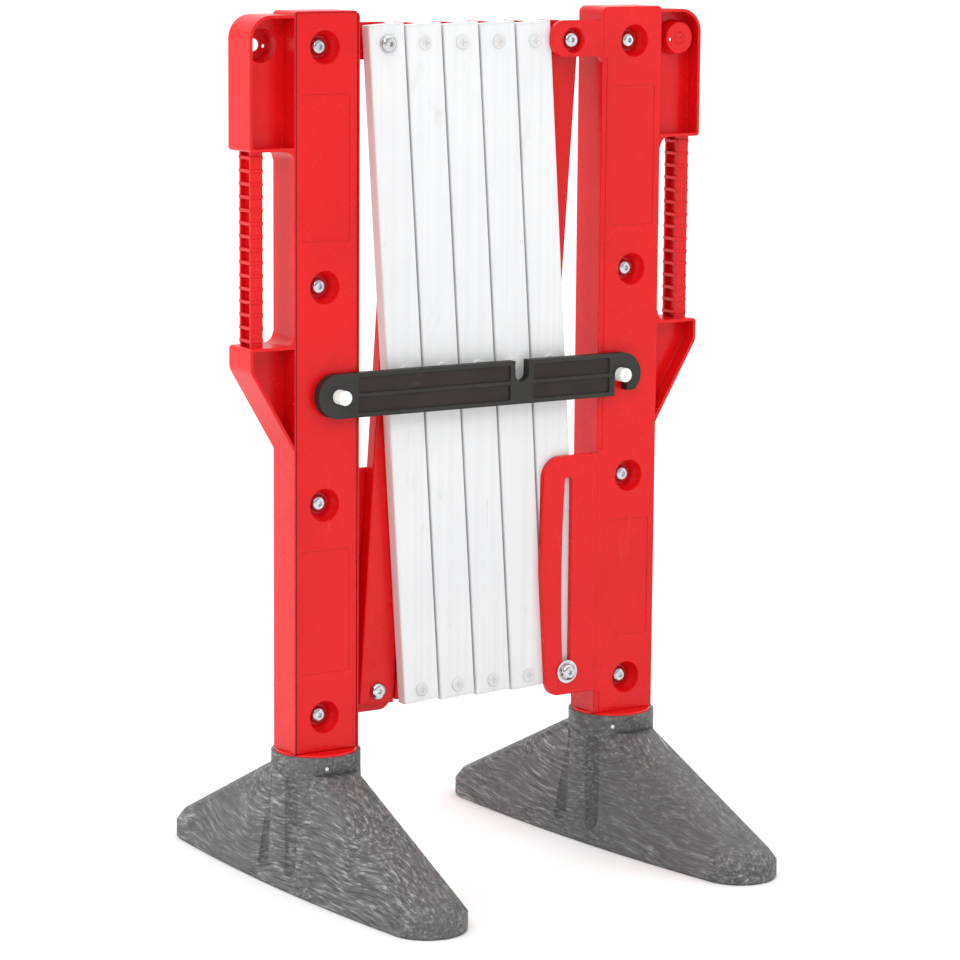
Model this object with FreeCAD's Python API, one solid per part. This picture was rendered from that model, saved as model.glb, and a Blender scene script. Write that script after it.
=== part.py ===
import FreeCAD, Part
import math
import os

V = FreeCAD.Vector
os.makedirs("parts", exist_ok=True)

# ---------------------------------------------------------------------------
# Expanding lattice barrier, closed.  X runs along the barrier (left post to
# right post seen from the front), the front faces -Y, Z is up, floor at Z = 0.
# All lengths in millimetres, all angles in degrees.
# ---------------------------------------------------------------------------

# overall sizes
total_height = 1000.0
post_spacing = 412.0
post_width = 84.0
post_depth = 50.0

# lattice
cells = 5
low_pivot_z = 214.6
slat_gap = 2.7
slat_wall = 2.2
slat_edge_radius = 2.5
slat_top_over = 20.0
slat_foot_over = 13.0
pivot_from_post = 40.5
top_pivot_drop = 38.0
layer_gap = 0.4
slat_side_gap = 0.1
bracket_thickness = 7.0
full_opening_angle = 42.5

# post mouldings
shell_wall = 3.5
cover_thickness = 3.0
cover_gap = 0.4
rebate_lip = 1.8
post_bottom_z = 158.5
top_plate = 4.0
top_screw_drop = 40.0
upper_screw_drop = 308.0
middle_screw_z = 444.5
low_screw_z = 198.5
feature_offset = 3.0
dish_mouth_r = 19.0
dish_floor_r = 12.5
dish_depth = 17.0
panel_depth = 0.8
panel_width = 62.0
panel_end_gap = 52.0
panel_screw_offset = 1.5
strip_width = 7.0
strip_step = 0.8
rib_thickness = 2.5
locator_depth = 4.0
locator_thickness = 2.2
locator_gap = 0.3

# ear, hand grip and gusset on the outer side of each post
ear_reach = 56.0
ear_drop = 4.0
ear_height = 150.0
ear_corner_r = 27.0
ear_wall = 3.5
web_front = 2.0
web_thickness = 3.0
gusset_top_z = 628.0
gusset_corner_z = 602.0
gusset_low_z = 507.0
grip_width = 15.0
grip_depth = 26.0
grip_outset = 34.0
grip_wall = 3.0
rib_pitch = 14.6
rib_height = 3.6
rib_proud = 0.9
link_inset = 29.0
link_drop = 38.0
link_mouth_r = 19.0
link_floor_r = 16.0
link_depth = 18.0
link_wall = 2.2
link_hole_r = 7.0

# tab and slotted arm on the bracket side of each post
tab_reach = 70.0
tab_below_pivot = 19.0
tab_above_pivot = 23.0
tab_end_r = 17.0
tab_dish_r = 15.0
tab_dish_depth = 9.0
arm_above_pivot = 30.7
arm_below_pivot = 27.6
arm_reach_top = 75.5
arm_reach_mid = 78.0
arm_reach_low = 68.0
arm_top_r = 26.0
arm_low_r = 16.0
slot_clearance = 0.4
slot_bow = 3.4

# fasteners
bolt_r = 5.0
bolt_hole_gap = 0.3
pivot_fit = 0.06
fixed_fit = 0.03
nut_fit = 0.05
head_r = 10.0
head_height = 6.2
low_head_height = 5.2
socket_r = 3.4
socket_depth = 3.0
washer_r = 14.0
low_washer_r = 10.4
washer_thickness = 1.6
rivet_r = 4.0
rivet_head_r = 8.0
rivet_head_height = 2.2
rivet_loose_gap = 0.3

# strap and its two pins
pin_z = 569.0
left_pin_inset = 9.0
right_pin_inset = 18.0
pin_r = 8.3
left_pin_length = 27.0
right_pin_length = 23.0
pin_flange_lip = 4.7
strap_gap = 0.4
strap_thickness = 11.6
strap_half_height = 25.4
strap_overhang = 28.4
hook_gap = 0.4
notch_width = 18.6
notch_from_right_pin = 139.5
notch_depth = 24.5
strap_panel_depth = 2.0

# spigot and foot
flange_lip = 7.0
flange_thickness = 4.5
flange_gap = 0.4
spigot_r = 40.0
spigot_wall = 5.0
spigot_bottom_z = 44.0
plug_height = 13.0
collar_wall = 4.1
collar_top_z = 156.5
column_flare = 5.0
ridge_top_z = 136.0
ridge_half_length = 62.0
ridge_mid_half_width = 41.0
ridge_end_r = 31.0
brow_height = 12.0
brow_inset = 9.0
valley_r = 13.0
valley_y = 26.0
valley_depth = 6.0
dimple_r = 80.0
dimple_depth = 2.6
foot_half_length = 281.0
foot_mid_half_width = 57.0
foot_end_r = 46.0
foot_edge_height = 20.0
foot_bore_gap = 0.08
groove_z = 144.0
groove_depth = 2.0
lock_r = 2.2
left_foot_turn = 1.5
right_foot_turn = 5.0
left_lock_angle = -17.0
right_lock_angle = -37.0

# derived
half_depth = post_depth / 2.0
half_width = post_width / 2.0
post_x = post_spacing / 2.0
end_pivot_inset = half_width + pivot_from_post
top_pivot_z = total_height - top_pivot_drop
pitch = (post_spacing - 2.0 * end_pivot_inset) / cells
slat_pivot_length = math.hypot(top_pivot_z - low_pivot_z, pitch)
rest_angle = math.degrees(math.asin(pitch / slat_pivot_length))
slat_width = pitch * math.cos(math.radians(rest_angle)) - slat_gap
layer_edge = half_depth - bracket_thickness - layer_gap
slat_thickness = layer_edge - layer_gap / 2.0 - slat_side_gap
slat_back = layer_edge - slat_thickness
first_pivot_x = -post_x + end_pivot_inset
open_rise = slat_pivot_length * (
    math.cos(math.radians(rest_angle))
    - math.cos(math.radians(rest_angle + full_opening_angle)))
slot_half = bolt_r + slot_clearance
web_back = web_front + web_thickness
ear_x = -half_width - ear_reach
ear_bottom_z = total_height - ear_drop - ear_height
link_x = ear_x + link_inset
link_z = total_height - link_drop
tab_low_z = top_pivot_z - tab_below_pivot
tab_high_z = top_pivot_z + tab_above_pivot
arm_low_z = low_pivot_z - arm_below_pivot
arm_high_z = low_pivot_z + open_rise + arm_above_pivot
top_screw_z = total_height - top_screw_drop
upper_screw_z = total_height - upper_screw_drop
screw_heights = [top_screw_z, upper_screw_z, middle_screw_z, low_screw_z]
panel_zones = [(upper_screw_z + panel_end_gap, top_screw_z - panel_end_gap),
               (low_screw_z + panel_end_gap, middle_screw_z - panel_end_gap)]
screw_x = -feature_offset
panel_x = screw_x + panel_screw_offset
boss_end = half_depth - dish_depth - cover_thickness
pin_flange_r = pin_r + pin_flange_lip
flange_r = spigot_r + flange_lip
collar_r = flange_r + flange_gap + collar_wall
rib_levels = [upper_screw_z + 138.0, pin_z - 49.0, low_screw_z + 121.5]
locator_spans = [(upper_screw_z + 23.0, 30.0), (pin_z + 21.0, 50.0), (low_screw_z + 51.5, 60.0)]


def box(x0, x1, y0, y1, z0, z1):
    return Part.makeBox(x1 - x0, y1 - y0, z1 - z0, V(x0, y0, z0))


def cyl_y(x, z, r, y0, y1):
    return Part.makeCylinder(r, y1 - y0, V(x, y0, z), V(0, 1, 0))


def cone_y(x, z, r0, r1, y0, y1):
    return Part.makeCone(r0, r1, y1 - y0, V(x, y0, z), V(0, 1, 0))


def cyl_z(x, y, r, z0, z1):
    return Part.makeCylinder(r, z1 - z0, V(x, y, z0))


def outline_solid(points, y0, y1):
    """Extrude a polygon in the XZ plane; a point may carry a corner radius."""
    count = len(points)
    corners = []
    for i in range(count):
        p = points[i]
        r = p[2] if len(p) > 2 else 0.0
        here = V(p[0], 0, p[1])
        before = V(points[i - 1][0], 0, points[i - 1][1])
        after = V(points[(i + 1) % count][0], 0, points[(i + 1) % count][1])
        if r <= 0.0:
            corners.append((here, None, here))
            continue
        a = (before - here).normalize()
        b = (after - here).normalize()
        half = math.acos(max(-1.0, min(1.0, a.dot(b)))) / 2.0
        back = r / math.tan(half)
        bisector = (a + b).normalize()
        centre = here + bisector * (r / math.sin(half))
        middle = centre - bisector * r
        corners.append((here + a * back, middle, here + b * back))
    edges = []
    for i in range(count):
        start, middle, end = corners[i]
        nxt = corners[(i + 1) % count][0]
        if middle is not None:
            edges.append(Part.Arc(start, middle, end).toShape())
        if (nxt - end).Length > 1e-6:
            edges.append(Part.makeLine(end, nxt))
    face = Part.Face(Part.Wire(edges))
    face.translate(V(0, y0, 0))
    return face.extrude(V(0, y1 - y0, 0))


def curve_is(edge, kind):
    """True when the edge carries a curve of this kind (seam points carry none)."""
    try:
        return isinstance(edge.Curve, kind)
    except TypeError:
        return False


def round_edges(shape, direction, radius, keep=None):
    picked = []
    for edge in shape.Edges:
        if not curve_is(edge, Part.Line):
            continue
        d = edge.tangentAt(edge.FirstParameter)
        if abs(d.dot(direction)) < 0.999:
            continue
        if keep is not None and not keep(edge.CenterOfMass):
            continue
        picked.append(edge)
    return shape.makeFillet(radius, picked)


def round_circles(shape, radius, y_level, circle_r):
    picked = []
    for edge in shape.Edges:
        if curve_is(edge, Part.Circle):
            if abs(edge.Curve.Center.y - y_level) < 1e-4 and abs(edge.Curve.Radius - circle_r) < 1e-4:
                picked.append(edge)
    return shape.makeFillet(radius, picked)


def turned(shape):
    """The right-hand moulding: the same part turned half a turn about Z."""
    copy = shape.copy()
    copy.rotate(V(0, 0, 0), V(0, 0, 1), 180)
    return copy


def moved(shape, x=0.0, y=0.0, z=0.0):
    copy = shape.copy()
    copy.translate(V(x, y, z))
    return copy


def solid_of(shape):
    clean = shape.removeSplitter()
    if len(clean.Solids) != 1:
        raise RuntimeError("expected one solid, got %d" % len(clean.Solids))
    return clean.Solids[0]


def save(name, shape):
    shape.exportStep("parts/" + name + ".step")


# ---------------------------------------------------------------------------
# Fasteners
# ---------------------------------------------------------------------------

def domed_head(x, z, seat_y, height, r=head_r):
    """Button head standing towards -Y from its seat, with a hexagon socket."""
    rim = 1.6
    body = cyl_y(x, z, r, seat_y - rim, seat_y)
    rise = height - rim
    top_r = 0.52 * r
    curve = Part.Arc(V(r, 0, 0), V(0.86 * r, -0.66 * rise, 0), V(top_r, -rise, 0)).toShape()
    lines = [curve,
             Part.makeLine(V(top_r, -rise, 0), V(0, -rise, 0)),
             Part.makeLine(V(0, -rise, 0), V(0, 0, 0)),
             Part.makeLine(V(0, 0, 0), V(r, 0, 0))]
    dome = Part.Face(Part.Wire(lines)).revolve(V(0, 0, 0), V(0, 1, 0), 360)
    dome.translate(V(x, seat_y - rim, z))
    head = body.fuse(dome)
    points = []
    for i in range(7):
        a = math.radians(60.0 * i + 30.0)
        points.append(V(x + socket_r * math.cos(a), seat_y - height - 0.5, z + socket_r * math.sin(a)))
    socket = Part.Face(Part.makePolygon(points)).extrude(V(0, socket_depth + 0.5, 0))
    return head.cut(socket)


def bolt(x, z, seat_y, end_y, height=head_height):
    return solid_of(domed_head(x, z, seat_y, height).fuse(cyl_y(x, z, bolt_r, seat_y, end_y)))


def dome_nut(x, z, seat_y, shank_end_y, height=head_height):
    """Domed cap nut standing towards +Y from its seat over a bolt end."""
    nut = domed_head(x, z, 0, height)
    nut.rotate(V(x, 0, z), V(0, 0, 1), 180)
    nut.translate(V(0, seat_y, 0))
    return solid_of(nut.cut(cyl_y(x, z, bolt_r + nut_fit, seat_y - 1, shank_end_y + 0.2)))


def washer(x, z, y0, y1, r=washer_r):
    ring = cyl_y(x, z, r, y0, y1)
    ring = ring.cut(cyl_y(x, z, bolt_r + bolt_hole_gap, y0 - 1, y1 + 1))
    ring = round_circles(ring, 0.4, y0, r)
    return solid_of(ring)


# ---------------------------------------------------------------------------
# Slats: hollow profiles with an end plug in each end
# ---------------------------------------------------------------------------

def slat_profile(y0):
    """A slat standing upright with its top pivot at X = 0, Z = 0."""
    low = -slat_pivot_length - slat_foot_over
    outer = box(-slat_width / 2, slat_width / 2, y0, y0 + slat_thickness, low, slat_top_over)
    outer = round_edges(outer, V(0, 0, 1), slat_edge_radius)
    inner_half = slat_width / 2 - slat_wall
    rib = slat_wall / 2
    for side in (-1, 1):
        x_in = sorted((side * rib, side * inner_half))
        hollow = box(x_in[0], x_in[1], y0 + slat_wall, y0 + slat_thickness - slat_wall,
                     low - 1, slat_top_over + 1)
        outer = outer.cut(hollow)
    return outer


def slat_plugs(y0):
    low = -slat_pivot_length - slat_foot_over
    plugs = []
    for level, way in ((slat_top_over, 1), (low, -1)):
        z = sorted((level, level + way * 1.8))
        cap = box(-slat_width / 2, slat_width / 2, y0, y0 + slat_thickness, z[0], z[1])
        cap = round_edges(cap, V(0, 0, 1), slat_edge_radius)
        for side in (-1, 1):
            x_in = sorted((side * (slat_wall / 2 + 0.15), side * (slat_width / 2 - slat_wall - 0.15)))
            z_in = sorted((level, level - way * 5.0))
            cap = cap.fuse(box(x_in[0], x_in[1], y0 + slat_wall + 0.15,
                               y0 + slat_thickness - slat_wall - 0.15, z_in[0], z_in[1]))
        plugs.append(solid_of(cap))
    return plugs


def lean(shape, top_x, angle):
    """Hang a slat from its top pivot and swing its foot towards +X by angle."""
    copy = shape.copy()
    copy.rotate(V(0, 0, 0), V(0, 1, 0), -angle)
    copy.translate(V(top_x, 0, top_pivot_z))
    return copy


def rivet(x, z):
    """Headed pin through both layers; head in front, smaller head behind."""
    y0 = -layer_edge
    y1 = layer_edge
    head = cyl_y(x, z, rivet_head_r, y0 - rivet_head_height, y0)
    head = round_circles(head, 1.0, y0 - rivet_head_height, rivet_head_r)
    slot = box(x - 4.0, x + 4.0, y0 - rivet_head_height - 1, y0 - rivet_head_height + 0.8, z - 0.7, z + 0.7)
    cross = box(x - 0.7, x + 0.7, y0 - rivet_head_height - 1, y0 - rivet_head_height + 0.8, z - 4.0, z + 4.0)
    tail = cyl_y(x, z, rivet_head_r - 1.5, y1, y1 + 0.25)
    body = head.fuse(cyl_y(x, z, rivet_r, y0, y1)).fuse(tail)
    return solid_of(body.cut(slot).cut(cross))


white_y0 = -layer_edge
red_y0 = slat_back
mid_z = (top_pivot_z + low_pivot_z) / 2.0


def top_x(i):
    return first_pivot_x + i * pitch


for k in range(1, cells + 1):
    # white slat k: top at pivot k-1, foot at pivot k
    white = lean(slat_profile(white_y0), top_x(k - 1), rest_angle)
    red = lean(slat_profile(red_y0), top_x(k), -rest_angle)
    mid_x = top_x(k - 1) + pitch / 2.0
    y_a = white_y0 - 1
    y_b = white_y0 + slat_thickness + 1
    y_c = red_y0 - 1
    y_d = red_y0 + slat_thickness + 1
    # pivot holes in the white slat, which carries the pins of its foot and middle
    top_hole = bolt_r + pivot_fit if k == 1 else rivet_r + fixed_fit
    white = white.cut(cyl_y(top_x(k - 1), top_pivot_z, top_hole, y_a, y_b))
    foot_hole = (bolt_r if k == cells else rivet_r) + fixed_fit
    white = white.cut(cyl_y(top_x(k), low_pivot_z, foot_hole, y_a, y_b))
    white = white.cut(cyl_y(mid_x, mid_z, rivet_r + fixed_fit, y_a, y_b))
    # pivot holes in the red slat; every other slat closes a loop of the lattice
    # with its outer pivots, and those have more room
    end_gap = rivet_loose_gap if k % 2 else pivot_fit
    top_hole = bolt_r + pivot_fit if k == cells else rivet_r + end_gap
    red = red.cut(cyl_y(top_x(k), top_pivot_z, top_hole, y_c, y_d))
    foot_hole = bolt_r + fixed_fit if k == 1 else rivet_r + end_gap
    red = red.cut(cyl_y(top_x(k - 1), low_pivot_z, foot_hole, y_c, y_d))
    red = red.cut(cyl_y(mid_x, mid_z, rivet_r + pivot_fit, y_c, y_d))
    save("white_slat_%d" % k, solid_of(white))
    save("red_slat_%d" % k, solid_of(red))
    white_plugs = [lean(p, top_x(k - 1), rest_angle) for p in slat_plugs(white_y0)]
    red_plugs = [lean(p, top_x(k), -rest_angle) for p in slat_plugs(red_y0)]
    save("white_plugs_%d" % k, Part.makeCompound(white_plugs))
    save("red_plugs_%d" % k, Part.makeCompound(red_plugs))
    pins = [rivet(mid_x, mid_z)]
    if k > 1:
        pins.append(rivet(top_x(k - 1), top_pivot_z))
    if k < cells:
        pins.append(rivet(top_x(k), low_pivot_z))
    save("rivets_%d" % k, Part.makeCompound(pins))


# ---------------------------------------------------------------------------
# Post mouldings, drawn for the left post about its own axis (X = 0)
# ---------------------------------------------------------------------------

def dish_cup(x, z, face_y, way):
    """Outer cone of the cup behind a screw dish; way +1 goes into +Y."""
    wall = cover_thickness
    floor = face_y + way * (dish_depth + wall)
    if way > 0:
        return cone_y(x, z, dish_mouth_r + wall, dish_floor_r + wall, face_y, floor)
    return cone_y(x, z, dish_floor_r + wall, dish_mouth_r + wall, floor, face_y)


def dish_cut(x, z, face_y, way):
    floor = face_y + way * dish_depth
    if way > 0:
        return cone_y(x, z, dish_mouth_r, dish_floor_r, face_y, floor)
    return cone_y(x, z, dish_floor_r, dish_mouth_r, floor, face_y)


def panel_cut(y0, y1):
    """Shallow sunk fields between the upper and between the lower screws."""
    cuts = []
    for low, high in panel_zones:
        x0 = panel_x - panel_width / 2
        x1 = panel_x + panel_width / 2
        cuts.append(outline_solid([(x0, low, 3), (x1, low, 3), (x1, high, 3), (x0, high, 3)], y0, y1))
    return Part.makeCompound(cuts)


def post_body():
    z0 = post_bottom_z
    outer = outline_solid([(-half_width, z0), (half_width, z0), (half_width, total_height, 8.0),
                           (-half_width, total_height, 5.0)], -half_depth, half_depth)
    outer = round_edges(outer, V(0, 0, 1), 2.0, lambda c: c.y > 0)
    inner_x = half_width - shell_wall
    cavity = box(-inner_x, inner_x, -half_depth - 1, half_depth - shell_wall,
                 z0 - 1, total_height - top_plate)
    rebate_x = half_width - rebate_lip
    rebate = box(-rebate_x, rebate_x, -half_depth - 1, -half_depth + cover_thickness,
                 z0 - 1, total_height - rebate_lip)
    body = outer.cut(cavity).cut(rebate)
    # inner strip of the bracket face stands a step lower
    strip = box(half_width - strip_width, half_width + 1, half_depth - strip_step, half_depth + 1,
                z0 - 1, arm_low_z - 4.0)
    upper = box(half_width - strip_width, half_width + 1, half_depth - strip_step, half_depth + 1,
                arm_high_z + 4.0, tab_low_z - 4.0)
    body = body.cut(strip).cut(upper)
    # screw cups, bosses and dishes
    for z in screw_heights:
        body = body.fuse(dish_cup(screw_x, z, half_depth, -1))
        body = body.fuse(cyl_y(screw_x, z, dish_floor_r, -boss_end, boss_end + 1))
    for z in screw_heights:
        body = body.cut(dish_cut(screw_x, z, half_depth, -1))
        body = body.cut(cyl_y(screw_x, z, bolt_r + bolt_hole_gap, -half_depth, half_depth))
    body = body.cut(panel_cut(half_depth - panel_depth, half_depth + 1))
    # internal cross ribs between the screws
    for z in rib_levels:
        rib = box(-inner_x, inner_x, -half_depth + cover_thickness + cover_gap, half_depth - shell_wall,
                  z, z + rib_thickness)
        body = body.fuse(rib)
    return body


def ear_outline(grow):
    top = total_height - ear_drop
    return [(ear_x + grow, ear_bottom_z + grow, max(1.0, 4.0 - grow)),
            (-half_width + 0.5, ear_bottom_z + grow),
            (-half_width + 0.5, top - grow),
            (ear_x + grow, top - grow, ear_corner_r - grow)]


def gusset_outline(grow):
    in_x = -half_width + 0.5
    low = gusset_low_z + grow * 1.9
    return [(ear_x + grow, gusset_top_z - grow, max(1.0, 4.0 - grow)),
            (ear_x + grow, gusset_corner_z + 0.35 * grow, max(6.0, 16.0 - grow)),
            (in_x, low),
            (in_x, gusset_top_z - grow)]


def post_handle():
    """Ear, hand grip and gusset as one frame with a web near mid depth."""
    frame = None
    for outline in (ear_outline, gusset_outline):
        outer = outline_solid(outline(0.0), -half_depth, half_depth)
        hollow_front = outline_solid(outline(ear_wall), -half_depth - 1, web_front)
        hollow_back = outline_solid(outline(ear_wall), web_back, half_depth + 1)
        piece = outer.cut(hollow_front).cut(hollow_back)
        frame = piece if frame is None else frame.fuse(piece)
    # hand grip: I-section with cross ribs
    gx1 = -half_width - grip_outset
    gx0 = gx1 - grip_width
    gy = grip_depth / 2
    low = gusset_top_z - 1
    high = ear_bottom_z + 1
    grip = box(gx0, gx1, -gy, gy, low, high)
    web_half = grip_wall / 2
    mid = (gx0 + gx1) / 2
    grip = grip.cut(box(gx0 - 1, mid - web_half, -gy + grip_wall, gy - grip_wall, low - 1, high + 1))
    grip = grip.cut(box(mid + web_half, gx1 + 1, -gy + grip_wall, gy - grip_wall, low - 1, high + 1))
    count = int((high - low - rib_height) / rib_pitch)
    start = (high + low) / 2 - count * rib_pitch / 2
    for i in range(count + 1):
        z = start + i * rib_pitch
        rib = box(gx0 - rib_proud, gx1 + rib_proud, -gy - rib_proud, gy + rib_proud,
                  z - rib_height / 2, z + rib_height / 2)
        rib = round_edges(rib, V(0, 0, 1), 1.6)
        grip = grip.fuse(rib)
    frame = frame.fuse(grip)
    # rounded inside corners of the finger gap, next to the post
    for z, way in ((gusset_top_z, 1), (ear_bottom_z, -1)):
        r = 12.0
        z_a = sorted((z, z + way * r))
        block = box(-half_width - r, -half_width + 0.5, -half_depth, half_depth, z_a[0], z_a[1])
        block = block.cut(cyl_y(-half_width - r, z + way * r, r, -half_depth - 1, half_depth + 1))
        frame = frame.fuse(block)
    # link cup: socket from the front, peg towards the back
    lx = link_x
    cup_floor = web_front + link_depth
    cup = cone_y(lx, link_z, link_mouth_r + link_wall, link_floor_r + link_wall,
                 web_front, cup_floor + link_wall)
    frame = frame.fuse(cup)
    bite = cone_y(lx, link_z, link_mouth_r, link_floor_r, web_front - 0.01, cup_floor)
    frame = frame.cut(bite)
    frame = frame.cut(cyl_y(lx, link_z, link_mouth_r, web_front - 5, web_front))
    frame = frame.cut(cyl_y(lx, link_z, link_hole_r, cup_floor - 1, cup_floor + link_wall + 1))
    frame = frame.cut(cyl_y(lx + 12.5, link_z - 1.5, 2.0, cup_floor - 1, cup_floor + link_wall + 1))
    return frame


def post_brackets():
    """Top tab and slotted lower arm on the inner side, in the back plane."""
    y0 = half_depth - bracket_thickness
    y1 = half_depth
    x_in = half_width - 0.5
    tab_x = half_width + tab_reach
    tab = outline_solid([(x_in, tab_low_z), (tab_x, tab_low_z, tab_end_r),
                         (tab_x, tab_high_z, tab_end_r), (x_in, tab_high_z)], y0, y1)
    boss = cyl_y(end_pivot_inset, top_pivot_z, tab_dish_r + 1.5, -slat_back + 0.1, y0 + 0.5)
    tab = tab.fuse(boss)
    dish = cone_y(end_pivot_inset, top_pivot_z, tab_dish_r - 3, tab_dish_r, y1 - tab_dish_depth, y1)
    tab = tab.cut(dish)
    tab = tab.cut(cyl_y(end_pivot_inset, top_pivot_z, bolt_r + bolt_hole_gap, -1, y1 + 1))
    corner = box(half_width - 0.5, half_width + 9.0, y0, y1, tab_low_z - 9.0, tab_low_z)
    corner = corner.cut(cyl_y(half_width + 9.0, tab_low_z - 9.0, 9.0, y0 - 1, y1 + 1))
    tab = tab.fuse(corner)
    # arm with a long upright slot, bowed outwards a little at mid height
    top_out = half_width + arm_reach_top
    mid_out = half_width + arm_reach_mid
    low_out = half_width + arm_reach_low
    arm = outline_solid([(x_in, arm_low_z), (low_out, arm_low_z, arm_low_r),
                         (mid_out, (arm_low_z + arm_high_z) / 2 + 8.0, 260.0),
                         (top_out, arm_high_z, arm_top_r), (x_in, arm_high_z)], y0, y1)
    z_low = low_pivot_z
    z_high = low_pivot_z + open_rise
    x_left = end_pivot_inset - slot_half
    x_right = end_pivot_inset + slot_half
    edges = [Part.Arc(V(x_left, 0, z_low), V(end_pivot_inset, 0, z_low - slot_half),
                      V(x_right, 0, z_low)).toShape(),
             Part.Arc(V(x_right, 0, z_low), V(x_right + slot_bow, 0, (z_low + z_high) / 2),
                      V(x_right, 0, z_high)).toShape(),
             Part.Arc(V(x_right, 0, z_high), V(end_pivot_inset, 0, z_high + slot_half),
                      V(x_left, 0, z_high)).toShape(),
             Part.makeLine(V(x_left, 0, z_high), V(x_left, 0, z_low))]
    slot = Part.Face(Part.Wire(edges))
    slot.translate(V(0, y0 - 1, 0))
    slot = slot.extrude(V(0, bracket_thickness + 2, 0))
    return tab, arm.cut(slot)


def post_cover():
    """Flat lid let into the open side of the post body."""
    x_out = half_width - rebate_lip - cover_gap
    z0 = post_bottom_z + cover_gap
    z1 = total_height - rebate_lip - cover_gap
    cover = box(-x_out, x_out, -half_depth, -half_depth + cover_thickness, z0, z1)
    strip = box(x_out - strip_width + 2.0, x_out + 1, -half_depth - 1, -half_depth + strip_step,
                z0 - 1, z1 + 1)
    cover = cover.cut(strip)
    for z in screw_heights:
        cover = cover.fuse(dish_cup(screw_x, z, -half_depth, 1))
    for z in screw_heights:
        cover = cover.cut(dish_cut(screw_x, z, -half_depth, 1))
        cover = cover.cut(cyl_y(screw_x, z, bolt_r + bolt_hole_gap, -half_depth, half_depth))
    cover = cover.cut(panel_cut(-half_depth - 1, -half_depth + panel_depth))
    # locating ribs just inside the side walls of the body
    rib_x = half_width - shell_wall - locator_gap
    for side in (-1, 1):
        x_r = sorted((side * rib_x, side * (rib_x - locator_thickness)))
        for z_r, length in locator_spans:
            cover = cover.fuse(box(x_r[0], x_r[1], -half_depth + cover_thickness - 0.5,
                                   -half_depth + cover_thickness + locator_depth, z_r, z_r + length))
    return cover


def full_post():
    tab, arm = post_brackets()
    body = post_body().fuse(post_handle()).fuse(tab).fuse(arm)
    return body


body_shape = full_post()
cover_shape = post_cover()
left_body = moved(body_shape, -post_x)
left_cover = moved(cover_shape, -post_x)
right_body = turned(left_body)
right_cover = turned(left_cover)

# holes for the strap pins: through the lid on the left, the body on the right
left_pin_x = -post_x + left_pin_inset
right_pin_x = post_x - right_pin_inset
left_cover = left_cover.cut(cyl_y(left_pin_x, pin_z, pin_r + fixed_fit, -half_depth - 1, 0))
right_body = right_body.cut(cyl_y(right_pin_x, pin_z, pin_r + fixed_fit, -half_depth - 1, 0))

save("left_post_body", solid_of(left_body))
save("left_post_cover", solid_of(left_cover))
save("right_post_body", solid_of(right_body))
save("right_post_cover", solid_of(right_cover))

# post clamping screws and cap nuts; the heads are on the front of both posts
seat = half_depth - dish_depth
for name, side in (("left", -1), ("right", 1)):
    sx = side * (post_x + feature_offset)
    screws = [bolt(sx, z, -seat, seat + 4.2) for z in screw_heights]
    nuts = [dome_nut(sx, z, seat, seat + 4.2) for z in screw_heights]
    save(name + "_post_screws", Part.makeCompound(screws))
    save(name + "_post_nuts", Part.makeCompound(nuts))

# bolts through the top tabs: the outer ends of the lattice hang on these
left_top_x = first_pivot_x
right_top_x = -first_pivot_x
tab_seat = half_depth - tab_dish_depth
head_seat = -layer_edge - washer_thickness
save("left_top_bolt", bolt(left_top_x, top_pivot_z, head_seat, tab_seat + 4.2, low_head_height))
save("left_top_washer", washer(left_top_x, top_pivot_z, head_seat, -layer_edge, low_washer_r))
save("left_top_nut", dome_nut(left_top_x, top_pivot_z, tab_seat, tab_seat + 4.2))
save("right_top_bolt", bolt(right_top_x, top_pivot_z, -tab_seat, layer_edge + washer_thickness + 3.4))
save("right_top_washer", washer(right_top_x, top_pivot_z, layer_edge, layer_edge + washer_thickness,
                                low_washer_r))
save("right_top_nut", dome_nut(right_top_x, top_pivot_z, layer_edge + washer_thickness,
                               layer_edge + washer_thickness + 3.4, low_head_height))

# slide bolts: they ride up the slots of the lower arms as the barrier opens
face_clear = 0.3
out_y = half_depth + face_clear
save("right_slide_bolt", bolt(right_top_x, low_pivot_z, -out_y - washer_thickness, -slat_back + 4.2))
save("right_slide_nut", dome_nut(right_top_x, low_pivot_z, -slat_back, -slat_back + 4.2))
save("right_slide_washer", washer(right_top_x, low_pivot_z, -out_y - washer_thickness, -out_y))
save("left_slide_bolt", bolt(left_top_x, low_pivot_z, slat_back, out_y + washer_thickness + 3.4))
save("left_slide_washer", washer(left_top_x, low_pivot_z, out_y, out_y + washer_thickness))
save("left_slide_nut", dome_nut(left_top_x, low_pivot_z, out_y + washer_thickness,
                                out_y + washer_thickness + 3.4))


# ---------------------------------------------------------------------------
# Strap with a hooked end, and the two pins it hangs between
# ---------------------------------------------------------------------------

def strap_pin(x, length, panel_wall):
    inside = -half_depth + panel_wall
    shaft = cyl_y(x, pin_z, pin_r, -half_depth - length, inside + 3.0)
    shaft = round_circles(shaft, 1.0, -half_depth - length, pin_r)
    flange = cyl_y(x, pin_z, pin_flange_r, inside, inside + 3.0)
    return solid_of(shaft.fuse(flange))


save("left_strap_pin", strap_pin(left_pin_x, left_pin_length, cover_thickness))
save("right_strap_pin", strap_pin(right_pin_x, right_pin_length, shell_wall))


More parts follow.
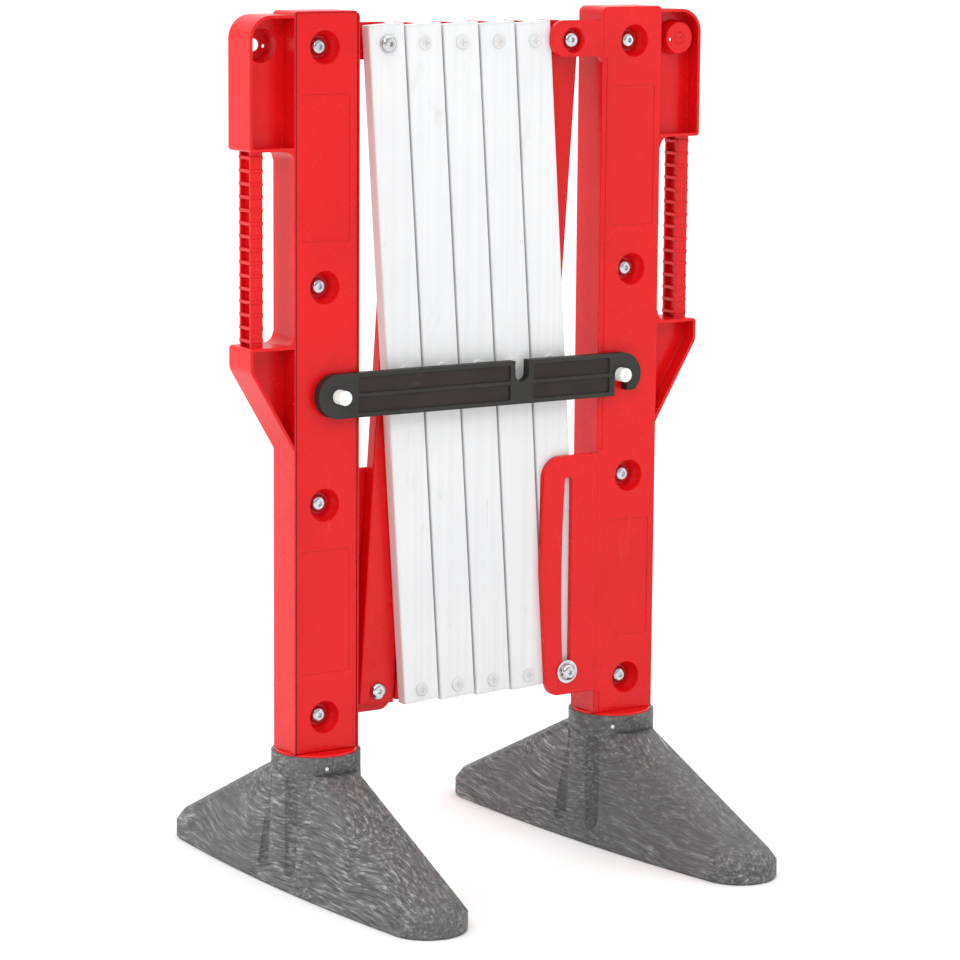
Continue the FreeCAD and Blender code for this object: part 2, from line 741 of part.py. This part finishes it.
def strap():
    y1 = -half_depth - strap_gap
    y0 = y1 - strap_thickness
    h = strap_half_height
    x0 = left_pin_x - h - 0.6
    x1 = right_pin_x + strap_overhang
    z0 = pin_z - h
    z1 = pin_z + h
    end_r = h - 0.1
    plate = outline_solid([(x0, z0, end_r), (x1, z0, end_r), (x1, z1, end_r), (x0, z1, end_r)], y0, y1)
    plate = plate.cut(cyl_y(left_pin_x, pin_z, pin_r + pivot_fit, y0 - 1, y1 + 1))
    # hook: open downwards so the free end lifts off its pin
    mouth = pin_r + hook_gap
    plate = plate.cut(cyl_y(right_pin_x, pin_z, mouth, y0 - 1, y1 + 1))
    throat = outline_solid([(right_pin_x - mouth, pin_z), (right_pin_x - mouth, z0 - 5),
                            (right_pin_x + mouth, z0 - 5), (right_pin_x + mouth, pin_z)], y0 - 1, y1 + 1)
    plate = plate.cut(throat)
    lip = outline_solid([(right_pin_x + mouth - 1, z0 - 1), (x1 + 5, z0 - 1),
                         (x1 + 5, z0 + 6.0), (right_pin_x + mouth - 1, z0 + 6.0)], y0 - 1, y1 + 1)
    plate = plate.cut(lip)
    # round-bottomed notch in the top edge
    nx = right_pin_x - notch_from_right_pin
    nr = notch_width / 2
    nz = z1 - notch_depth + nr
    notch = cyl_y(nx, nz, nr, y0 - 1, y1 + 1).fuse(box(nx - nr, nx + nr, y0 - 1, y1 + 1, nz, z1 + 1))
    plate = plate.cut(notch)
    # sunk fields with a rib between them, either side of the notch, both faces
    fields = [(left_pin_x + 25.0, nx - nr - 6.5), (nx + nr + 6.5, right_pin_x - mouth - 7.5)]
    for a, b in fields:
        for c, d in ((pin_z + 2.0, z1 - 5.0), (z0 + 5.0, pin_z - 2.0)):
            for ya, yb in ((y0 - 1, y0 + strap_panel_depth), (y1 - strap_panel_depth, y1 + 1)):
                plate = plate.cut(outline_solid([(a, c, 2.5), (b, c, 2.5), (b, d, 2.5), (a, d, 2.5)], ya, yb))
    return solid_of(plate)


save("strap", strap())


# ---------------------------------------------------------------------------
# Spigots under the posts, and the rubber feet that turn on them
# ---------------------------------------------------------------------------

def spigot():
    z1 = post_bottom_z
    z0 = z1 - flange_thickness
    disc = cyl_z(0, 0, flange_r, z0, z1)
    picked = [e for e in disc.Edges if curve_is(e, Part.Circle) and abs(e.Curve.Center.z - z1) < 1e-4]
    disc = disc.makeChamfer(1.5, picked)
    tube = cyl_z(0, 0, spigot_r, spigot_bottom_z, z0 + 1)
    ring = cyl_z(0, 0, spigot_r + 1, groove_z - 3.5, groove_z + 3.5)
    ring = ring.cut(cyl_z(0, 0, spigot_r - groove_depth, groove_z - 4, groove_z + 4))
    tube = tube.cut(ring)
    px = half_width - shell_wall - 0.2
    py0 = -half_depth + cover_thickness + 0.2
    py1 = half_depth - shell_wall - 0.2
    plug = box(-px, px, py0, py1, z0 + 1, z1 + plug_height)
    body = disc.fuse(tube).fuse(plug)
    body = body.cut(cyl_z(0, 0, spigot_r - spigot_wall, spigot_bottom_z - 1, z0 - 2))
    body = body.cut(box(-px + 4, px - 4, py0 + 4, py1 - 4, z1, z1 + plug_height + 1))
    return body


left_spigot = moved(spigot(), -post_x)
save("left_spigot", solid_of(left_spigot))
save("right_spigot", solid_of(turned(left_spigot)))


def foot_outline(z, half_length, mid_half, end_r):
    """Closed wire: two round ends joined by slightly bowed sides."""
    ye = half_length - end_r
    dx = end_r * math.cos(math.radians(4.0))
    pts = [V(dx, -ye, z), V(0, -half_length, z), V(-dx, -ye, z),
           V(-mid_half, 0, z), V(-dx, ye, z), V(0, half_length, z), V(dx, ye, z), V(mid_half, 0, z)]
    e1 = Part.Arc(pts[0], pts[1], pts[2]).toShape()
    e2 = Part.Arc(pts[2], pts[3], pts[4]).toShape()
    e3 = Part.Arc(pts[4], pts[5], pts[6]).toShape()
    e4 = Part.Arc(pts[6], pts[7], pts[0]).toShape()
    return Part.Wire([e1, e2, e3, e4])


def scoop(start, end, r):
    """Round-ended rod used to press a hollow into a flank."""
    rod = Part.makeCylinder(r, (end - start).Length, start, end - start)
    return rod.fuse(Part.makeSphere(r, start)).fuse(Part.makeSphere(r, end))


def flank_x(y, z):
    """Half width of the foot's sloping flank at a place between brow and ridge top."""
    low_z = foot_edge_height + brow_height
    up = (z - low_z) / (ridge_top_z - low_z)
    low_half = foot_mid_half_width - brow_inset / 2
    reach = foot_half_length - brow_inset + (ridge_half_length - foot_half_length + brow_inset) * up
    middle = low_half + (ridge_mid_half_width - low_half) * up
    end = foot_end_r - brow_inset + (ridge_end_r - foot_end_r + brow_inset) * up
    return middle + (end - middle) * (y / reach) ** 2


def foot():
    """Wide low block with a ridge falling each way from a round column; long way front-back."""
    base = foot_outline(0.0, foot_half_length - 1.5, foot_mid_half_width - 1.5, foot_end_r - 1.5)
    rim = foot_outline(2.0, foot_half_length, foot_mid_half_width, foot_end_r)
    edge = foot_outline(foot_edge_height, foot_half_length, foot_mid_half_width, foot_end_r)
    brow = foot_outline(foot_edge_height + brow_height, foot_half_length - brow_inset,
                        foot_mid_half_width - brow_inset / 2, foot_end_r - brow_inset)
    ridge = foot_outline(ridge_top_z, ridge_half_length, ridge_mid_half_width, ridge_end_r)
    body = Part.makeLoft([base, rim], True, True)
    body = body.fuse(Part.makeLoft([rim, edge], True, True))
    body = body.fuse(Part.makeLoft([edge, brow], True, True))
    body = body.fuse(Part.makeLoft([brow, ridge], True, True))
    body = body.fuse(cyl_z(0, 0, collar_r, foot_edge_height + brow_height, collar_top_z))
    body = body.fuse(Part.makeCone(collar_r + column_flare, collar_r, ridge_top_z - foot_edge_height,
                                   V(0, 0, foot_edge_height)))
    # a valley down each side of the column, and a shallow dimple in the front flanks
    lift = valley_r - valley_depth
    for side in (-1, 1):
        for way in (-1, 1):
            low_z = foot_edge_height + brow_height
            start = V(side * (flank_x(valley_y, low_z) + lift), way * (valley_y + 4.0), low_z)
            end = V(side * (collar_r + lift - 3.5), way * valley_y, ridge_top_z - 12.0)
            body = body.cut(scoop(start, end, valley_r))
        lift_d = dimple_r - dimple_depth
        dimple = []
        for y, z in ((192.0, 61.0), (156.0, 84.0)):
            dimple.append(V(side * (flank_x(y, z) + lift_d), -y, z))
        body = body.cut(scoop(dimple[0], dimple[1], dimple_r))
    z_seat = post_bottom_z - flange_thickness
    body = body.cut(cyl_z(0, 0, flange_r + flange_gap, z_seat, collar_top_z + 1))
    body = body.cut(cyl_z(0, 0, spigot_r + foot_bore_gap, spigot_bottom_z - 4.0, collar_top_z + 1))
    return body


def foot_lock(angle):
    """Small screw in the collar wall whose tip runs in the spigot groove."""
    pin = Part.makeCylinder(lock_r, collar_r - spigot_r + groove_depth - 0.5,
                            V(0, -collar_r + 0.3, groove_z), V(0, 1, 0))
    pin.rotate(V(0, 0, 0), V(0, 0, 1), angle)
    return pin


def place_foot(shape, x, turn):
    copy = shape.copy()
    copy.rotate(V(0, 0, 0), V(0, 0, 1), turn)
    copy.translate(V(x, 0, 0))
    return copy


for name, x, turn, angle in (("left", -post_x, left_foot_turn, left_lock_angle),
                             ("right", post_x, right_foot_turn, right_lock_angle)):
    hole = Part.makeCylinder(lock_r + fixed_fit, collar_r, V(0, -collar_r - 1, groove_z), V(0, 1, 0))
    hole.rotate(V(0, 0, 0), V(0, 0, 1), angle)
    save(name + "_foot", solid_of(place_foot(foot().cut(hole), x, turn)))
    save(name + "_foot_lock", place_foot(foot_lock(angle), x, turn).Solids[0])


# red plug closing the hole in the end of the right-hand link peg
def link_plug():
    end = -web_front - link_depth
    plug = cyl_y(0, 0, link_hole_r - nut_fit, end - link_wall, end + 0.5)
    plug = plug.fuse(cyl_y(0, 0, link_hole_r + 3.0, end, end + 2.0))
    return plug.cut(cyl_y(2.2, 1.0, 1.8, end - link_wall - 1, 0))


save("right_link_plug", solid_of(moved(link_plug(), post_x - link_x, 0, link_z)))
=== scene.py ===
import bpy
import math
from mathutils import Matrix, Vector

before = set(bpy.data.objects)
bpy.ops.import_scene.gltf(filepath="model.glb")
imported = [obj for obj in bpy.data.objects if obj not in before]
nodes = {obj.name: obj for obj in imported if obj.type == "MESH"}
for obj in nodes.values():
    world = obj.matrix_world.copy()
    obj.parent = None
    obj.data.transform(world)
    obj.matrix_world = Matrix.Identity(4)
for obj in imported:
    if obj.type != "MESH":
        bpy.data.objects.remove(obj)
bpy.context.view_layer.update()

# Places in metres, as in the CAD
POST_X = 0.206              # the middle of a post, either side of x = 0
LID_HALF_WIDTH = 0.0398     # half the width of the flat lid on a post
STRAP_FRONT_RIM = (-0.0362, -0.0355)    # y where the strap's front rim gives way to its sunk field
STRAP_BACK_RIM = (-0.0276, -0.0269)     # y where the sunk part ends and the back rim begins

# Rounding of moulded edges, in metres
BODY_EDGE = 0.0009
LID_EDGE = 0.0005
STRAP_EDGE = 0.0008
FOOT_EDGE = 0.0014
EDGE_ANGLE = 32.0           # degrees: edges sharper than this are rounded
WELD_DISTANCE = 0.00001

FLOOR_SIZE = 60.0
FLOOR_DROP = 0.0005         # the floor lies this far below the feet
SENSOR_WIDTH = 36.0         # millimetres, as the focal length is


# ---------------------------------------------------------------------------
# Node helpers
# ---------------------------------------------------------------------------

class Maker:
    """Small helper that adds and links shader nodes in one material."""

    hollow_samples = 6
    edge_samples = 4

    def __init__(self, name):
        self.material = bpy.data.materials.new(name)
        self.material.use_nodes = True
        self.tree = self.material.node_tree
        self.shader = self.tree.nodes["Principled BSDF"]
        self.coords = self.tree.nodes.new("ShaderNodeTexCoord").outputs["Object"]

    def link(self, a, b):
        self.tree.links.new(a, b)

    def put(self, value, socket):
        if hasattr(value, "links"):
            self.link(value, socket)
        else:
            socket.default_value = value

    def scaled(self, scale, turn=(0.0, 0.0, 0.0), coords=None):
        node = self.tree.nodes.new("ShaderNodeMapping")
        node.inputs["Scale"].default_value = scale
        node.inputs["Rotation"].default_value = turn
        self.link(coords or self.coords, node.inputs["Vector"])
        return node.outputs["Vector"]

    def noise(self, scale, detail=3.0, rough=0.5, coords=None, distortion=0.0):
        node = self.tree.nodes.new("ShaderNodeTexNoise")
        node.inputs["Scale"].default_value = scale
        node.inputs["Detail"].default_value = detail
        node.inputs["Roughness"].default_value = rough
        node.inputs["Distortion"].default_value = distortion
        self.link(coords or self.coords, node.inputs["Vector"])
        return node.outputs["Fac"]

    def bent(self, amount, scale):
        """Coordinates pushed about by a slow colour noise, for flow marks."""
        noise = self.tree.nodes.new("ShaderNodeTexNoise")
        noise.inputs["Scale"].default_value = scale
        noise.inputs["Detail"].default_value = 1.0
        self.link(self.coords, noise.inputs["Vector"])
        centre = self.tree.nodes.new("ShaderNodeVectorMath")
        centre.operation = "SUBTRACT"
        self.link(noise.outputs["Color"], centre.inputs[0])
        centre.inputs[1].default_value = (0.5, 0.5, 0.5)
        push = self.tree.nodes.new("ShaderNodeVectorMath")
        push.operation = "MULTIPLY_ADD"
        self.link(centre.outputs[0], push.inputs[0])
        push.inputs[1].default_value = (amount, amount, amount)
        self.link(self.coords, push.inputs[2])
        return push.outputs[0]

    def voronoi(self, scale, coords=None):
        node = self.tree.nodes.new("ShaderNodeTexVoronoi")
        node.inputs["Scale"].default_value = scale
        self.link(coords or self.coords, node.inputs["Vector"])
        return node.outputs["Distance"]

    def ramp(self, value, stops):
        node = self.tree.nodes.new("ShaderNodeValToRGB")
        elements = node.color_ramp.elements
        while len(elements) > 1:
            elements.remove(elements[-1])
        for i, (place, colour) in enumerate(stops):
            element = elements[0] if i == 0 else elements.new(place)
            element.position = place
            element.color = colour + (1.0,)
        self.link(value, node.inputs["Fac"])
        return node.outputs["Color"]

    def span(self, value, low, high, to_low=0.0, to_high=1.0, smooth=False):
        node = self.tree.nodes.new("ShaderNodeMapRange")
        node.interpolation_type = "SMOOTHSTEP" if smooth else "LINEAR"
        self.link(value, node.inputs["Value"])
        node.inputs["From Min"].default_value = low
        node.inputs["From Max"].default_value = high
        node.inputs["To Min"].default_value = to_low
        node.inputs["To Max"].default_value = to_high
        return node.outputs["Result"]

    def maths(self, kind, a, b=0.5):
        node = self.tree.nodes.new("ShaderNodeMath")
        node.operation = kind
        self.put(a, node.inputs[0])
        self.put(b, node.inputs[1])
        return node.outputs[0]

    def mix(self, share, a, b):
        node = self.tree.nodes.new("ShaderNodeMix")
        node.data_type = "RGBA"
        self.put(share, node.inputs[0])
        for socket, value in ((node.inputs[6], a), (node.inputs[7], b)):
            self.put(value if hasattr(value, "links") else tuple(value) + (1.0,), socket)
        return node.outputs[2]

    def axis(self, which):
        node = self.tree.nodes.new("ShaderNodeSeparateXYZ")
        self.link(self.coords, node.inputs[0])
        return node.outputs[which]

    def shut_in(self, distance):
        """How open the surface is: 1 in the open, less down in a hollow."""
        node = self.tree.nodes.new("ShaderNodeAmbientOcclusion")
        node.samples = self.hollow_samples
        node.only_local = True
        node.inputs["Distance"].default_value = distance
        return node.outputs["AO"]

    def rounded(self, radius):
        """Normal that turns smoothly over sharp moulded edges."""
        node = self.tree.nodes.new("ShaderNodeBevel")
        node.samples = self.edge_samples
        node.inputs["Radius"].default_value = radius
        return node.outputs["Normal"]

    def bump(self, height, strength, distance, under=None):
        node = self.tree.nodes.new("ShaderNodeBump")
        node.inputs["Strength"].default_value = strength
        node.inputs["Distance"].default_value = distance
        self.link(height, node.inputs["Height"])
        if under is not None:
            self.link(under, node.inputs["Normal"])
        return node.outputs["Normal"]

    def finish(self, colour, roughness, normal, **fixed):
        self.put(colour, self.shader.inputs["Base Color"])
        self.put(roughness, self.shader.inputs["Roughness"])
        self.link(normal, self.shader.inputs["Normal"])
        for name, value in fixed.items():
            self.shader.inputs[name.replace("_", " ")].default_value = value
        return self.material


def red_plastic(name, lid_x=None):
    """Glossy moulded plastic: slow colour drift, faint scuffs, fine texture.

    A lid also has painted shade of the gap to the body along its two long edges, either side of x =
    lid_x.
    """
    deep, light = (0.60, 0.002, 0.004), (0.73, 0.005, 0.007)
    scuffed, groove_shade = (0.76, 0.06, 0.05), (0.10, 0.002, 0.003)
    m = Maker(name)
    drift = m.noise(5.0, 4.0, 0.6)
    colour = m.mix(m.span(drift, 0.3, 0.7), deep, light)
    streaks = m.noise(26.0, 6.0, 0.62, m.scaled((1.0, 1.0, 0.16), (0.2, 0.35, 0.1)), 0.6)
    scuff = m.span(streaks, 0.64, 0.78, 0.0, 0.22, True)
    scratch = m.noise(150.0, 5.0, 0.7, m.scaled((1.0, 1.0, 0.05), (0.5, 0.8, 0.3)), 0.3)
    scratch = m.span(scratch, 0.70, 0.76, 0.0, 0.22, True)
    marks = m.maths("MAXIMUM", scuff, scratch)
    colour = m.mix(marks, colour, scuffed)
    if lid_x is not None:
        # painted shade: a dark band just inside each long edge of the lid stands in for the shadowed
        # gap between lid and body
        away = m.maths("ABSOLUTE", m.maths("SUBTRACT", m.axis(0), lid_x))
        groove_shade_mask = m.span(away, LID_HALF_WIDTH - 0.0013, LID_HALF_WIDTH - 0.0005, 0.0, 0.85, True)
        colour = m.mix(groove_shade_mask, colour, groove_shade)
    cloud = m.noise(14.0, 5.0, 0.6)
    rough = m.span(cloud, 0.3, 0.72, 0.16, 0.34)
    rough = m.maths("ADD", rough, m.maths("MULTIPLY", marks, 0.35))
    sink = m.noise(7.0, 2.0, 0.5)
    normal = m.bump(sink, 0.22, 0.0012, m.rounded(0.0014))
    normal = m.bump(m.noise(900.0, 2.0, 0.5), 0.05, 0.0004, normal)
    return m.finish(colour, rough, normal, IOR=1.5, Specular_IOR_Level=0.26)


def slat_white():
    """Satin white plastic with faint lines along it, dirt and rub marks."""
    deep, light = (0.70, 0.71, 0.72), (0.78, 0.785, 0.79)
    lined, dirty, rubbed = (0.50, 0.51, 0.53), (0.42, 0.42, 0.41), (0.45, 0.45, 0.46)
    m = Maker("white_slat")
    drift = m.noise(4.0, 4.0, 0.55)
    colour = m.mix(m.span(drift, 0.3, 0.7), deep, light)
    lines = m.noise(210.0, 3.0, 0.5, m.scaled((1.0, 1.0, 0.006)))
    colour = m.mix(m.span(lines, 0.35, 0.75, 0.0, 0.18), colour, lined)
    dirt = m.noise(19.0, 7.0, 0.7, m.scaled((1.0, 1.0, 0.35)), 0.8)
    dirt = m.span(dirt, 0.58, 0.78, 0.0, 0.32, True)
    colour = m.mix(dirt, colour, dirty)
    rub = m.noise(130.0, 5.0, 0.7, m.scaled((1.0, 1.0, 0.08), (0.1, 0.5, 0.0)))
    rub = m.span(rub, 0.68, 0.74, 0.0, 0.4, True)
    colour = m.mix(rub, colour, rubbed)
    rough = m.span(m.noise(16.0, 5.0, 0.6), 0.3, 0.7, 0.30, 0.46)
    rough = m.maths("ADD", rough, m.maths("MULTIPLY", dirt, 0.4))
    normal = m.bump(lines, 0.10, 0.0002, m.rounded(0.0010))
    normal = m.bump(m.noise(6.0, 2.0), 0.2, 0.0008, normal)
    return m.finish(colour, rough, normal, IOR=1.5)


def nylon(name, low, high, rough):
    """Slightly translucent white plastic with small grey marks."""
    handled = (0.50, 0.49, 0.47)
    m = Maker(name)
    colour = m.mix(m.span(m.noise(60.0, 4.0), 0.3, 0.7), low, high)
    marks = m.span(m.noise(240.0, 5.0, 0.7), 0.62, 0.72, 0.0, 0.3, True)
    colour = m.mix(marks, colour, handled)
    roughness = m.span(m.noise(90.0, 4.0), 0.3, 0.7, rough, rough + 0.16)
    normal = m.bump(m.noise(700.0, 3.0), 0.12, 0.0003)
    return m.finish(colour, roughness, normal, IOR=1.53, Subsurface_Weight=0.12,
                    Subsurface_Scale=0.003)


def steel():
    """Bright plating with duller, browner stains."""
    deep, light, stained = (0.42, 0.43, 0.45), (0.66, 0.67, 0.69), (0.30, 0.28, 0.25)
    m = Maker("plated_steel")
    colour = m.mix(m.span(m.noise(220.0, 5.0, 0.6), 0.3, 0.7), deep, light)
    stain = m.span(m.noise(420.0, 4.0, 0.7), 0.60, 0.75, 0.0, 0.5, True)
    colour = m.mix(stain, colour, stained)
    rough = m.span(m.noise(300.0, 4.0), 0.3, 0.7, 0.10, 0.22)
    rough = m.maths("ADD", rough, m.maths("MULTIPLY", stain, 0.3))
    normal = m.bump(m.noise(900.0, 3.0, 0.6), 0.10, 0.0002)
    return m.finish(colour, rough, normal, Metallic=1.0)


def strap_black():
    """Charcoal plastic; the sunk fields are browner and duller than the rim."""
    rim_deep, rim_light = (0.016, 0.016, 0.014), (0.026, 0.025, 0.022)
    field_deep, field_light = (0.014, 0.010, 0.009), (0.024, 0.017, 0.015)
    marked = (0.060, 0.060, 0.052)
    m = Maker("strap_plastic")
    y = m.axis(1)
    front = m.span(y, *STRAP_FRONT_RIM)
    back = m.span(y, *STRAP_BACK_RIM)
    sunk = m.maths("SUBTRACT", front, back)
    rim = m.mix(m.span(m.noise(9.0, 4.0), 0.3, 0.7), rim_deep, rim_light)
    field = m.mix(m.span(m.noise(14.0, 5.0, 0.6), 0.3, 0.7), field_deep, field_light)
    colour = m.mix(sunk, rim, field)
    marks = m.noise(34.0, 6.0, 0.65, m.scaled((0.5, 1.0, 1.4), (0.0, 0.3, 0.0)), 0.5)
    marks = m.span(marks, 0.60, 0.72, 0.0, 0.4, True)
    colour = m.mix(marks, colour, marked)
    rough = m.span(m.noise(20.0, 4.0), 0.3, 0.7, 0.34, 0.50)
    rough = m.maths("ADD", rough, m.maths("MULTIPLY", sunk, 0.12))
    normal = m.bump(m.noise(650.0, 3.0, 0.6), 0.14, 0.0004, m.rounded(0.0010))
    normal = m.bump(marks, 0.15, 0.0003, normal)
    return m.finish(colour, rough, normal, IOR=1.5, Specular_IOR_Level=0.32)


def rubber():
    """Dark rubber with pale flow marks pulled along the flanks, and painted shade in its hollows."""
    flow_marks = [(0.38, (0.048, 0.048, 0.049)), (0.47, (0.085, 0.085, 0.087)),
                  (0.55, (0.130, 0.130, 0.132)), (0.64, (0.31, 0.31, 0.30))]
    plain_patch, shadow, pitted = (0.095, 0.095, 0.096), (0.022, 0.022, 0.022), (0.035, 0.034, 0.033)
    m = Maker("marbled_rubber")
    drift = m.noise(6.0, 2.0, 0.5)
    flow = m.bent(0.055, 7.0)
    along = m.scaled((1.0, 0.085, 1.0), (0.45, 0.0, 0.0), flow)
    streak = m.noise(240.0, 3.0, 0.6, along, 0.15)
    fine = m.noise(560.0, 2.0, 0.6, along, 0.1)
    blend = m.maths("ADD", m.maths("MULTIPLY", streak, 0.62), m.maths("MULTIPLY", fine, 0.38))
    colour = m.ramp(blend, flow_marks)
    patch = m.span(drift, 0.42, 0.62, 0.0, 0.6, True)
    colour = m.mix(patch, colour, plain_patch)
    # painted shade: the colour darkens towards the shadow tone where the surface is shut in, in the
    # valleys and hollows of the foot
    hollow = m.shut_in(0.045)
    colour = m.mix(m.span(hollow, 0.50, 0.98, 0.75, 0.0), colour, shadow)
    pits = m.span(m.voronoi(95.0, m.scaled((1.0, 0.6, 1.0))), 0.06, 0.15, 1.0, 0.0)
    pits = m.maths("MULTIPLY", pits, m.span(m.noise(16.0, 3.0), 0.56, 0.66))
    colour = m.mix(pits, colour, pitted)
    rough = m.span(blend, 0.35, 0.66, 0.66, 0.44)
    normal = m.bump(blend, 0.45, 0.0008)
    normal = m.bump(m.maths("SUBTRACT", 1.0, pits), 0.5, 0.0010, normal)
    normal = m.bump(m.noise(1100.0, 2.0), 0.12, 0.0003, normal)
    return m.finish(colour, rough, normal, IOR=1.52, Specular_IOR_Level=0.45)


red = red_plastic("red_plastic")
lids = {"left_post_cover": red_plastic("left_lid", -POST_X),
        "right_post_cover": red_plastic("right_lid", POST_X)}
white = slat_white()
rivet_white = nylon("rivet_nylon", (0.60, 0.60, 0.60), (0.70, 0.70, 0.69), 0.34)
pin_white = nylon("pin_nylon", (0.80, 0.80, 0.79), (0.90, 0.90, 0.89), 0.30)
chrome = steel()
black = strap_black()
grey = rubber()


# ---------------------------------------------------------------------------
# Finishes on the CAD nodes, and softened moulding edges
# ---------------------------------------------------------------------------

def soften(obj, width):
    """Round the hard edges of a moulding a little."""
    weld = obj.modifiers.new("weld", "WELD")
    weld.merge_threshold = WELD_DISTANCE
    bevel = obj.modifiers.new("edge", "BEVEL")
    bevel.width = width
    bevel.segments = 2
    bevel.limit_method = "ANGLE"
    bevel.angle_limit = math.radians(EDGE_ANGLE)
    bevel.use_clamp_overlap = True
    normals = obj.modifiers.new("normals", "WEIGHTED_NORMAL")
    normals.keep_sharp = False
    normals.weight = 60


def dress(obj, material):
    """Give the whole piece one finish."""
    obj.data.materials.clear()
    obj.data.materials.append(material)
    for polygon in obj.data.polygons:
        polygon.material_index = 0


for name, obj in nodes.items():
    if name.startswith(("red_", "right_link")) or name.endswith(("_body", "_cover", "_spigot")):
        dress(obj, lids.get(name, red))
        if name.endswith("_body"):
            soften(obj, BODY_EDGE)
        elif not name.startswith("red_"):
            soften(obj, LID_EDGE)
    elif name.startswith("white_"):
        dress(obj, white)
    elif name.startswith("rivets"):
        dress(obj, rivet_white)
    elif name.endswith("strap_pin"):
        dress(obj, pin_white)
    elif name == "strap":
        dress(obj, black)
        soften(obj, STRAP_EDGE)
    elif name.endswith("_foot"):
        dress(obj, grey)
        soften(obj, FOOT_EDGE)
    else:
        dress(obj, chrome)


# ---------------------------------------------------------------------------
# Floor, light and camera
# ---------------------------------------------------------------------------

def pale_floor():
    colour = (0.90, 0.90, 0.90)
    m = Maker("pale_floor")
    shade = m.mix(m.span(m.noise(3.0, 3.0), 0.3, 0.7), colour, tuple(c * 0.985 for c in colour))
    normal = m.bump(m.noise(40.0, 2.0), 0.02, 0.001)
    return m.finish(shade, 0.85, normal)


bpy.ops.mesh.primitive_plane_add(size=FLOOR_SIZE, location=(0, 0, -FLOOR_DROP))
floor = bpy.context.object
floor.name = "floor"
floor.data.materials.append(pale_floor())


def area(name, place, target, width, height, power):
    data = bpy.data.lights.new(name, "AREA")
    data.shape = "RECTANGLE"
    data.size = width
    data.size_y = height
    data.energy = power
    lamp = bpy.data.objects.new(name, data)
    bpy.context.scene.collection.objects.link(lamp)
    lamp.location = place
    way = Vector(target) - Vector(place)
    lamp.rotation_mode = "QUATERNION"
    lamp.rotation_quaternion = way.to_track_quat("-Z", "Y")


area("key", place=(-2.4, -3.0, 3.2), target=(0, 0, 0.6), width=1.5, height=1.5, power=42.0)
area("fill", place=(2.8, -3.2, 1.4), target=(0, 0, 0.5), width=1.6, height=1.4, power=6.0)
area("side", place=(-3.2, 0.2, 1.2), target=(0, 0, 0.55), width=0.7, height=2.4, power=20.0)

# White studio surround: bright overhead and behind, dimmer in front of the barrier
world = bpy.data.worlds.new("studio")
world.use_nodes = True
tree = world.node_tree
coords = tree.nodes.new("ShaderNodeTexCoord")


def brightness(direction, low, high, dim, bright):
    """Level that rises from dim to bright as a way comes nearer to direction."""
    facing = tree.nodes.new("ShaderNodeVectorMath")
    facing.operation = "DOT_PRODUCT"
    facing.inputs[1].default_value = direction
    level = tree.nodes.new("ShaderNodeMapRange")
    level.interpolation_type = "SMOOTHSTEP"
    level.inputs["From Min"].default_value = low
    level.inputs["From Max"].default_value = high
    level.inputs["To Min"].default_value = dim
    level.inputs["To Max"].default_value = bright
    tree.links.new(coords.outputs["Generated"], facing.inputs[0])
    tree.links.new(facing.outputs["Value"], level.inputs["Value"])
    return level.outputs["Result"]


total = tree.nodes.new("ShaderNodeMath")
behind = brightness(direction=(0.54, 0.84, 0.0), low=-0.75, high=0.4, dim=0.58, bright=0.95)
overhead = brightness(direction=(0.0, 0.0, 1.0), low=0.30, high=0.85, dim=0.0, bright=0.85)
tree.links.new(behind, total.inputs[0])
tree.links.new(overhead, total.inputs[1])
tree.links.new(total.outputs[0], tree.nodes["Background"].inputs["Strength"])
tree.nodes["Background"].inputs["Color"].default_value = (1.0, 1.0, 1.0, 1.0)
bpy.context.scene.world = world
bpy.context.scene.view_settings.view_transform = "Standard"
bpy.context.scene.view_settings.look = "None"


def place_camera(azimuth, elevation, roll, distance, target, focal):
    """Camera without shift that looks at target; angles are in degrees."""
    a, e, r = (math.radians(v) for v in (azimuth, elevation, roll))
    back = Vector((math.sin(a) * math.cos(e), -math.cos(a) * math.cos(e), math.sin(e)))
    right = Vector((math.cos(a), math.sin(a), 0.0))
    up = back.cross(right)
    x = right * math.cos(r) + up * math.sin(r)
    y = up * math.cos(r) - right * math.sin(r)
    data = bpy.data.cameras.new("camera")
    data.sensor_width = SENSOR_WIDTH
    data.lens = focal
    data.dof.use_dof = False
    camera = bpy.data.objects.new("camera", data)
    bpy.context.scene.collection.objects.link(camera)
    turn = Matrix((x, y, back)).transposed()
    camera.matrix_world = Matrix.Translation(Vector(target) + back * distance) @ turn.to_4x4()
    bpy.context.scene.camera = camera


place_camera(azimuth=-32.5, elevation=9.5, roll=0.46, distance=4.253,
             target=(0.0152, 0.0, 0.4512), focal=136.25)
